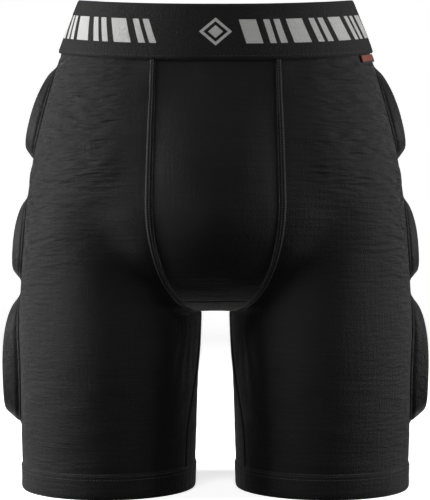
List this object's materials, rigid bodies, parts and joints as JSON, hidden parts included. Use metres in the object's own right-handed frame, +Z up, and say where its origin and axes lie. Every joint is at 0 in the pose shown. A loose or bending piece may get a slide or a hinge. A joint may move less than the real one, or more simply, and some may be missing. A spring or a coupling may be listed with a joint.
{
  "type": "padded impact shorts",
  "caption": "Close-fitting padded undershorts: elastic waistband, front pouch, wide seat and short legs, with covered foam pads down each side, on the buttocks and on the tailbone.",
  "frame": {"origin": "on the ground plane, under the middle of the bounding box, between the two leg hems", "axes": "+Z up towards the waist, -Y the wearer's front, +X the wearer's left"},
  "size_m": [0.404, 0.2608, 0.4722],
  "materials": {
    "jersey": "black matte stretch jersey",
    "elastic": "black woven elastic",
    "cover_cloth": "black stretch cloth over foam",
    "foam": "soft dark grey foam",
    "thread": "black coverstitch thread",
    "tag_cloth": "orange-red woven tag",
    "label_cloth": "off-white woven label"
  },
  "bodies": {
    "shorts": {"waistband_elastic": "elastic", "front_pouch_panel": "jersey", "crotch_gusset": "jersey", "seat_panel": "jersey", "left_leg_panel": "jersey", "left_hem_band": "jersey", "left_front_seam": "thread", "left_seat_seam": "thread", "left_inseam": "thread", "left_hip_pad_cover": "cover_cloth", "left_hip_pad_foam": "foam", "left_mid_pad_cover": "cover_cloth", "left_mid_pad_foam": "foam", "left_thigh_pad_cover": "cover_cloth", "left_thigh_pad_foam": "foam", "left_buttock_pad_cover": "cover_cloth", "left_buttock_pad_foam": "foam", "right_leg_panel": "jersey", "right_hem_band": "jersey", "right_front_seam": "thread", "right_seat_seam": "thread", "right_inseam": "thread", "right_hip_pad_cover": "cover_cloth", "right_hip_pad_foam": "foam", "right_mid_pad_cover": "cover_cloth", "right_mid_pad_foam": "foam", "right_thigh_pad_cover": "cover_cloth", "right_thigh_pad_foam": "foam", "right_buttock_pad_cover": "cover_cloth", "right_buttock_pad_foam": "foam", "tailbone_pad_cover": "cover_cloth", "tailbone_pad_foam": "foam"},
    "side_tag": {"left_side_tag": "tag_cloth"},
    "label": {"care_label": "label_cloth"}
  },
  "joints": [
    {"name": "side_tag_flap", "type": "hinge", "parent": "shorts", "child": "side_tag", "pos_m": [0.13908, -0.05094, 0.40221], "axis": [-0.4194, -0.8919, -0.1692], "range_deg": [0, 90]},
    {"name": "care_label_flap", "type": "hinge", "parent": "shorts", "child": "label", "pos_m": [0, 0.09459, 0.42162], "axis": [-1, 0, 0], "range_deg": [-6, 100]}
  ]
}
